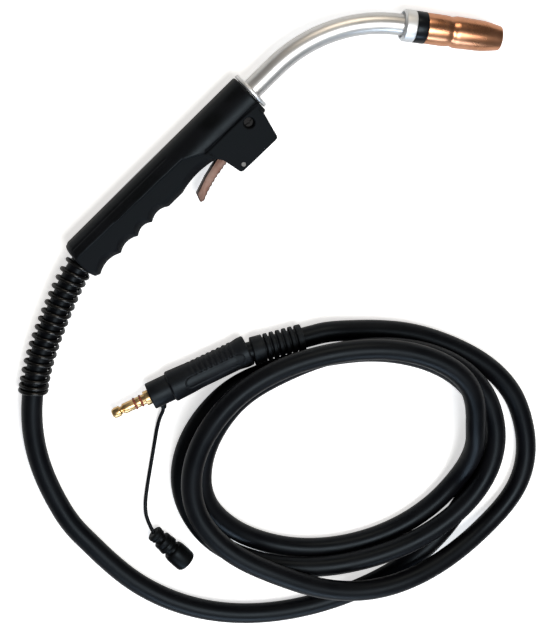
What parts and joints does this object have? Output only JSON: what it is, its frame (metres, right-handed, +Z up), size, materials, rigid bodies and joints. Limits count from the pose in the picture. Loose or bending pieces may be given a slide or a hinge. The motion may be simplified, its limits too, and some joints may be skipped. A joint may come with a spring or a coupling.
{
  "type": "mig_welding_torch",
  "caption": "MIG welding torch with a swan neck, copper gas nozzle, pistol trigger, spring-supported cable in a loose coil, brass power pin connector and a thin control lead with its own plug",
  "frame": {"origin": "on the floor under the middle of the torch itself, without its cable, connector and plug", "axes": "X along the handle towards the nozzle, Y away from the trigger, Z up; the torch lies on its left side"},
  "size_m": [0.5458, 0.4457, 0.0546],
  "materials": {
    "black_plastic": null,
    "pale_plastic": null,
    "black_rubber": null,
    "red_rubber": null,
    "black_steel": null,
    "steel": null,
    "bare_aluminium": null,
    "copper": null,
    "bronze_trigger": null,
    "brass": null
  },
  "bodies": {
    "torch": {"handle_shell_right": "black_plastic", "handle_shell_left": "black_plastic", "housing_screw": "black_steel", "trigger_pivot_pin": "steel", "trigger_switch": "black_plastic", "switch_leads": "black_rubber", "swan_neck_tube": "bare_aluminium", "neck_insulating_sleeve": "pale_plastic", "neck_conductor_tube": "copper", "wire_liner": "steel", "front_collar": "bare_aluminium", "nozzle_lock_ring": "bare_aluminium", "nozzle_insulator": "black_plastic", "gas_diffuser": "brass", "contact_tip": "copper", "neck_block": "brass", "union_nut": "brass", "cable_crimp_sleeve": "brass", "cable_end_in_handle": "black_rubber", "cable_free_run": "black_rubber", "cable_coil": "black_rubber", "cable_support_spring": "black_steel", "power_pin": "brass", "pin_seal_rings": "red_rubber", "connector_collar": "black_plastic", "connector_shell_upper": "black_plastic", "connector_shell_lower": "black_plastic", "connector_cable_end": "black_rubber", "cable_strain_relief": "black_rubber", "control_lead_boot": "black_rubber", "control_lead": "black_rubber", "control_plug_nut": "black_plastic", "control_plug_body": "black_plastic", "control_plug_insert": "black_plastic", "control_plug_contacts": "brass"},
    "trigger": {"trigger_lever": "bronze_trigger"},
    "plunger": {"switch_plunger": "pale_plastic"},
    "nozzle": {"gas_nozzle": "copper"},
    "plug_ring": {"control_plug_ring": "black_plastic"}
  },
  "joints": [
    {"name": "trigger_pull", "type": "hinge", "parent": "torch", "child": "trigger", "pos_m": [-0.0382, 0.01593, 0.018], "axis": [0, 0, -1], "range_deg": [0, 6], "stiffness_Nm_per_rad": 1.2, "springref_deg": -20.05},
    {"name": "switch_plunger_travel", "type": "slide", "parent": "torch", "child": "plunger", "axis": [1, 0, 0], "range_m": [0, 0.0016]},
    {"name": "nozzle_pull", "type": "slide", "parent": "torch", "child": "nozzle", "axis": [0.6157, -0.788, 0], "range_m": [0, 0.065]},
    {"name": "plug_ring_turn", "type": "hinge", "parent": "torch", "child": "plug_ring", "pos_m": [-0.3082, -0.19247, 0.0097], "axis": [0, -1, 0], "continuous": true}
  ],
  "couplings": [
    {"joint": "switch_plunger_travel", "follows": "trigger_pull", "m_per_rad": 0.0146}
  ]
}
